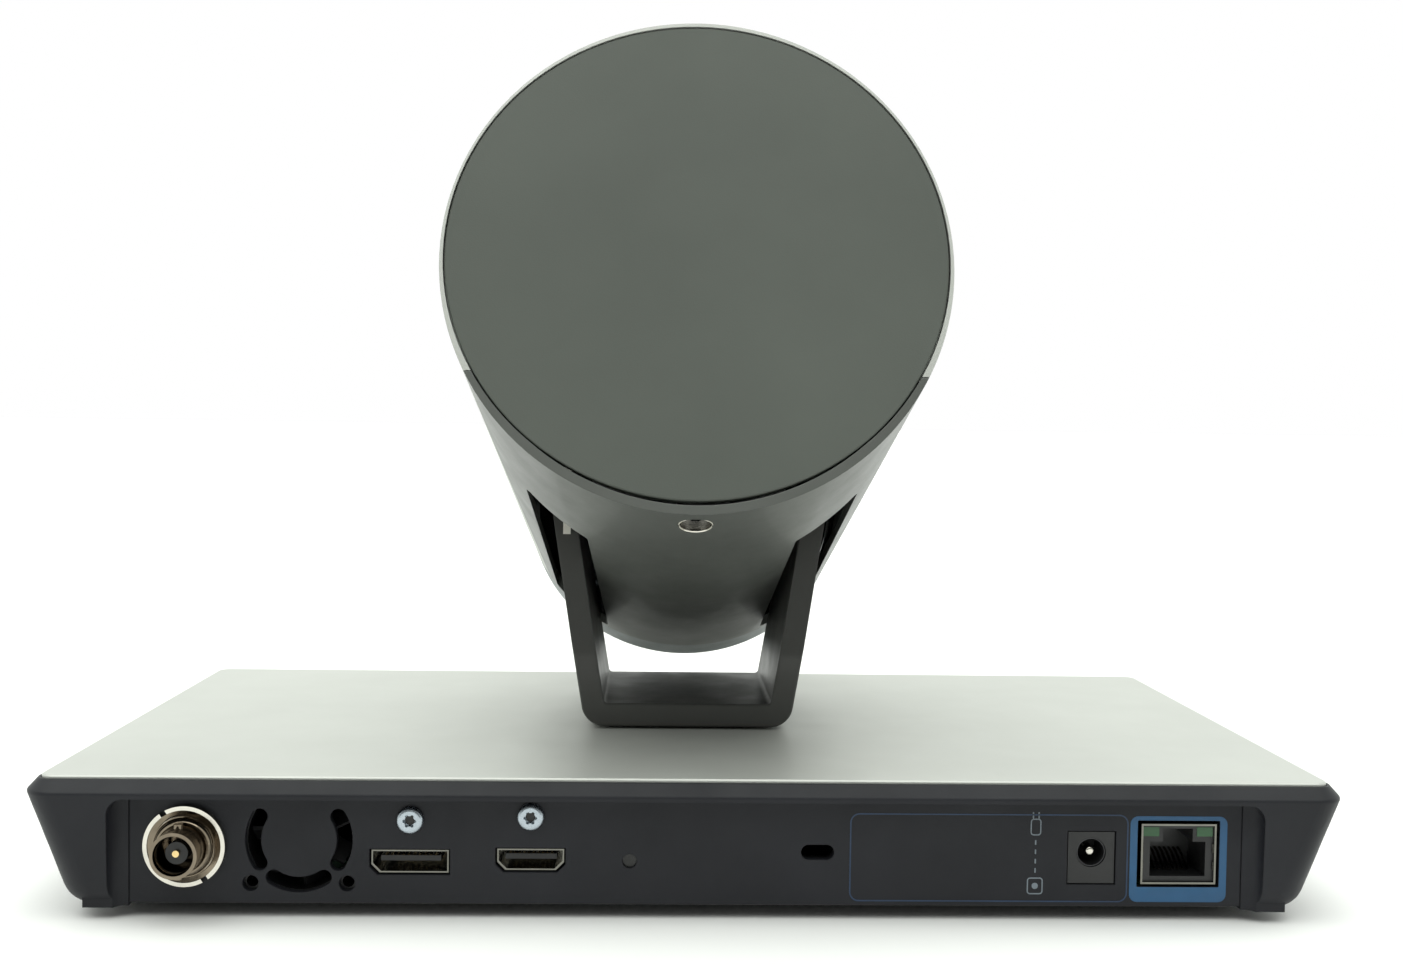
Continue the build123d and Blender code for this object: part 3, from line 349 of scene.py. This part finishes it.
def cable_sign(built):
    """A plug, a dashed lead and a round end: a plain sign for a lead that plugs in."""
    x = inlet.x + 12.0 * MM
    line = 0.25 * MM
    back = PANEL_FACE
    front = PANEL_FACE + PRINT
    plug = (x, port.z + 5.6 * MM)
    end = (x, port.z - 7.0 * MM)
    for centre, width, height in ((plug, 2.3 * MM, 3.6 * MM), (end, 3.4 * MM, 3.6 * MM)):
        outer = rounded_rectangle(centre, width, height, 0.7 * MM)
        inner = rounded_rectangle(centre, width - 2 * line, height - 2 * line, 0.7 * MM - line)
        add_frame(built, outer, inner, back, front)
    for shift in (-0.6 * MM, 0.6 * MM):
        add_tile(built, rounded_rectangle((x + shift, plug[1] + 2.5 * MM), 0.3 * MM, 1.4 * MM, 0.1 * MM),
                 back, front)
    low = end[1] + 2.3 * MM
    high = plug[1] - 2.3 * MM
    dashes = 4
    for dash in range(dashes):
        middle = low + (dash + 0.5) / dashes * (high - low)
        add_tile(built, rounded_rectangle((x, middle), 0.3 * MM, 1.0 * MM, 0.1 * MM), back, front)
    add_tile(built, rounded_rectangle(end, 1.3 * MM, 1.3 * MM, 0.6 * MM), back, front)


printed("network_print", "print_blue", network_print)
printed("label_print", "print_line", label_print)
printed("cable_sign", "print_grey", cable_sign)


# ---- contacts in the sockets ----
def network_contacts():
    """Eight sprung wires that slope up from the floor of the port."""
    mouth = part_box("network_insert")[1].y
    built = bmesh.new()
    pitch = 1.02 * MM
    floor = port.z - 4.9 * MM
    for wire in range(8):
        x = port.x + (wire - 3.5) * pitch
        path = [
            (x, mouth - 4.0 * MM, floor + 0.4 * MM),
            (x, mouth - 5.5 * MM, floor + 1.2 * MM),
            (x, mouth - 8.5 * MM, floor + 3.0 * MM),
            (x, mouth - 10.3 * MM, floor + 3.4 * MM),
        ]
        add_ribbon(built, path, (1, 0, 0), 0.42 * MM, 0.25 * MM)
    mesh = from_bmesh("network_contacts", built)
    piece("network_contacts", mesh, "nickel_painted_shade", "base")


def shield_springs():
    """Sprung tongues cut from the side walls of the network socket's shield."""
    low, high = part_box("network_shield")
    built = bmesh.new()
    for side in (-1, 1):
        wall = port.x + side * (high.x - low.x) / 2
        for z in (port.z - 2.6 * MM, port.z + 1.2 * MM):
            path = [(wall - side * 0.45 * MM, high.y - 0.1 * MM, z),
                    (wall - side * 0.62 * MM, high.y - 0.35 * MM, z),
                    (wall - side * 0.6 * MM, high.y - 0.6 * MM, z)]
            add_ribbon(built, path, (0, 0, 1), 1.9 * MM, 0.12 * MM)
    piece("shield_springs", from_bmesh("shield_springs", built), "socket_metal", "base")


def tongue_contacts(socket, count):
    """Gold strips on both faces of a socket's tongue."""
    low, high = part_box(f"{socket}_tongue")
    built = bmesh.new()
    pitch = (high.x - low.x - 1.0 * MM) / count
    proud = 0.04 * MM
    for row, z in ((0.0, high.z + proud / 2), (0.5, low.z - proud / 2)):
        for strip in range(count - (row > 0)):
            x = low.x + 0.5 * MM + (strip + 0.5 + row) * pitch
            path = [(x, high.y - 0.5 * MM, z), (x, low.y + 1.0 * MM, z)]
            add_ribbon(built, path, (1, 0, 0), pitch * 0.5, proud)
    name = f"{socket}_contacts"
    piece(name, from_bmesh(name, built), "brass_part", "base", smooth=False)


network_contacts()
shield_springs()
tongue_contacts("display", 10)
tongue_contacts("video", 10)


def screw_recess_shade():
    """Painted shade: black discs at the floors of the driver recesses in the two screws above the
    sockets, standing in for the shade down in the recesses.
    """
    low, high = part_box("panel_screws")
    built = bmesh.new()
    reach = 2.85 * MM          # radius of a screw's head
    floor = high.y - 1.1 * MM
    for x, z in ((low.x + reach, high.z - reach), (high.x - reach, low.z + reach)):
        disc = rounded_rectangle((x, z), 2.1 * MM, 2.1 * MM, 1.04 * MM)
        add_tile(built, disc, floor - 0.3 * MM, floor)
    piece("screw_recess_shade", from_bmesh("screw_recess_shade", built), "black_insert", "base")


screw_recess_shade()


# ---- inlet and coaxial details ----
def inlet_sleeve():
    """The sprung metal sleeve round the mouth of the power inlet."""
    pin = centre_of("power_pin")
    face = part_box("power_housing")[1].y
    profile = [(-4.0 * MM, 3.12 * MM), (-0.5 * MM, 3.12 * MM), (-0.3 * MM, 3.0 * MM),
               (-0.3 * MM, 2.85 * MM), (-4.0 * MM, 2.85 * MM)]
    mesh = lathe("inlet_sleeve", profile, (pin.x, face, pin.z), (0, 1, 0), 64)
    piece("inlet_sleeve", mesh, "floor_steel", "base")


def coax_collar():
    """A turned collar with a rolled lip at the root of the coaxial barrel."""
    ring_low, ring_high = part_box("coax_ring")
    centre = (ring_low + ring_high) / 2
    profile = [(0.0, 4.85 * MM), (0.9 * MM, 4.85 * MM), (1.1 * MM, 5.1 * MM), (1.1 * MM, 5.5 * MM),
               (0.7 * MM, 5.9 * MM), (0.0, 6.2 * MM)]
    mesh = lathe("coax_collar", profile, (centre.x, ring_high.y + 0.25 * MM, centre.z), (0, 1, 0), 96)
    piece("coax_collar", mesh, "nickel_painted_shade", "base")


def coax_washer():
    """A washer in the dished face of the ring."""
    low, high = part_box("coax_ring")
    centre = (low + high) / 2
    profile = [
        (-0.8 * MM, 6.4 * MM),
        (-0.55 * MM, 6.4 * MM),
        (-0.35 * MM, 7.56 * MM),
        (-0.8 * MM, 7.56 * MM),
    ]
    mesh = lathe("coax_washer", profile, (centre.x, high.y, centre.z), (0, 1, 0), 96)
    piece("coax_washer", mesh, "nickel_painted_shade", "base")


def coax_spring():
    """The slotted inner sleeve of the coaxial socket."""
    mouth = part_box("coax_body")[1].y
    pin = centre_of("coax_contact")
    profile = [(-6.5 * MM, 4.05 * MM), (-1.2 * MM, 4.05 * MM), (-0.9 * MM, 3.9 * MM),
               (-1.2 * MM, 3.7 * MM), (-6.5 * MM, 3.7 * MM)]
    mesh = lathe("coax_spring", profile, (pin.x, mouth, pin.z), (0, 1, 0), 96)
    piece("coax_spring", mesh, "nickel_painted_shade", "base")


inlet_sleeve()
coax_collar()
coax_washer()
coax_spring()


# ---- head details ----
def head_place(along, rise, x=0.0):
    return PIVOT + BARREL * along + RISE * rise + ACROSS * x


def belly_eyelet():
    """A plated eyelet in the screw hole under the head."""
    screw = centre_of("belly_screw") - PIVOT
    depth = screw.dot(RISE)
    at = head_place(screw.dot(BARREL), depth)
    profile = [(0.4 * MM, 3.72 * MM), (1.9 * MM, 3.72 * MM), (2.1 * MM, 3.55 * MM),
               (1.9 * MM, 3.35 * MM), (0.4 * MM, 3.35 * MM)]
    mesh = lathe("belly_eyelet", profile, at, -RISE, 96)
    piece("belly_eyelet", mesh, "nickel", "head")


MASK_T = 2.2 * MM
MASK_FACE = (centre_of("front_mask") - PIVOT).dot(BARREL) - MASK_T / 2


def lens_bezel():
    """A stepped ring round the lens, with fine grooves that kill reflections."""
    profile = [(0.0, 23.0 * MM), (-0.9 * MM, 22.4 * MM), (-1.0 * MM, 21.6 * MM), (-0.6 * MM, 21.0 * MM)]
    grooves = 4
    for groove in range(grooves):
        outer = (21.0 - 0.6 * groove) * MM
        profile.append((-(0.55 - 0.1 * groove) * MM, outer - 0.3 * MM))
        profile.append((-(0.35 - 0.1 * groove) * MM, outer - 0.45 * MM))
    profile.append((0.0, 18.4 * MM))
    mesh = lathe("lens_bezel", profile, head_place(MASK_FACE, 0), BARREL, 160)
    piece("lens_bezel", mesh, "lens_black", "head")


def front_light():
    """A small light window above the lens."""
    mesh = lathe("front_light", [(0.0, 0.001 * MM), (-0.25 * MM, 0.001 * MM), (-0.25 * MM, 0.9 * MM),
                                 (-0.1 * MM, 1.2 * MM), (0.0, 1.2 * MM)],
                 head_place(MASK_FACE, 32 * MM), BARREL, 48)
    piece("front_light", mesh, "light_window", "head")


belly_eyelet()
lens_bezel()
front_light()

# ---- stage ----
def stage_plane(name, size, location, colour):
    mesh = bpy.data.meshes.new(name)
    half = size / 2
    mesh.from_pydata([(-half, -half, 0), (half, -half, 0), (half, half, 0), (-half, half, 0)], [],
                     [(0, 1, 2, 3)])
    made = bpy.data.objects.new(name, mesh)
    bpy.context.collection.objects.link(made)
    made.location = location
    made.data.materials.append(surface(name, colour, 0.7, vary=0.01, patch=2))
    return made


stage_plane("floor", 40.0, (0, 0, 0), (0.9, 0.9, 0.9))

CAMERA_SIDE = 0.22         # brightness of the room behind the camera
FAR_SIDE = 1.3             # and of the backdrop and the sides
CAST = (0.965, 1.0, 0.95, 1)   # slightly green studio light
world = bpy.data.worlds.new("studio")
bpy.context.scene.world = world
world.use_nodes = True
sky_tree = world.node_tree
sky = sky_tree.nodes["Background"]
direction = add(sky_tree, "ShaderNodeTexCoord")
axes = add(sky_tree, "ShaderNodeSeparateXYZ")
fade = add(sky_tree, "ShaderNodeMapRange", interpolation_type="SMOOTHSTEP")
fade.inputs["From Min"].default_value = 0.0
fade.inputs["From Max"].default_value = 0.85
fade.inputs["To Min"].default_value = FAR_SIDE
fade.inputs["To Max"].default_value = CAMERA_SIDE
seen = add(sky_tree, "ShaderNodeLightPath")
strength = add(sky_tree, "ShaderNodeMix")
strength.inputs["B"].default_value = 1.0
sky_tree.links.new(direction.outputs["Generated"], axes.inputs["Vector"])
sky_tree.links.new(axes.outputs["Y"], fade.inputs["Value"])
sky_tree.links.new(seen.outputs["Is Camera Ray"], strength.inputs["Factor"])
sky_tree.links.new(fade.outputs["Result"], strength.inputs["A"])
sky_tree.links.new(strength.outputs["Result"], sky.inputs["Strength"])
colour = add(sky_tree, "ShaderNodeMix", data_type="RGBA")
colour.inputs["A"].default_value = CAST
colour.inputs["B"].default_value = (1, 1, 1, 1)
sky_tree.links.new(seen.outputs["Is Camera Ray"], colour.inputs["Factor"])
sky_tree.links.new(colour.outputs["Result"], sky.inputs["Color"])
bpy.context.scene.view_settings.view_transform = "Standard"

sun = bpy.data.objects.new("sun", bpy.data.lights.new("sun", "SUN"))
bpy.context.collection.objects.link(sun)
sun.data.energy = 1.85
sun.data.color = CAST[:3]
sun.data.angle = math.radians(70)
sun.rotation_mode = "QUATERNION"
sun.rotation_quaternion = Vector((-0.1, -0.25, -1)).to_track_quat("-Z", "Y")
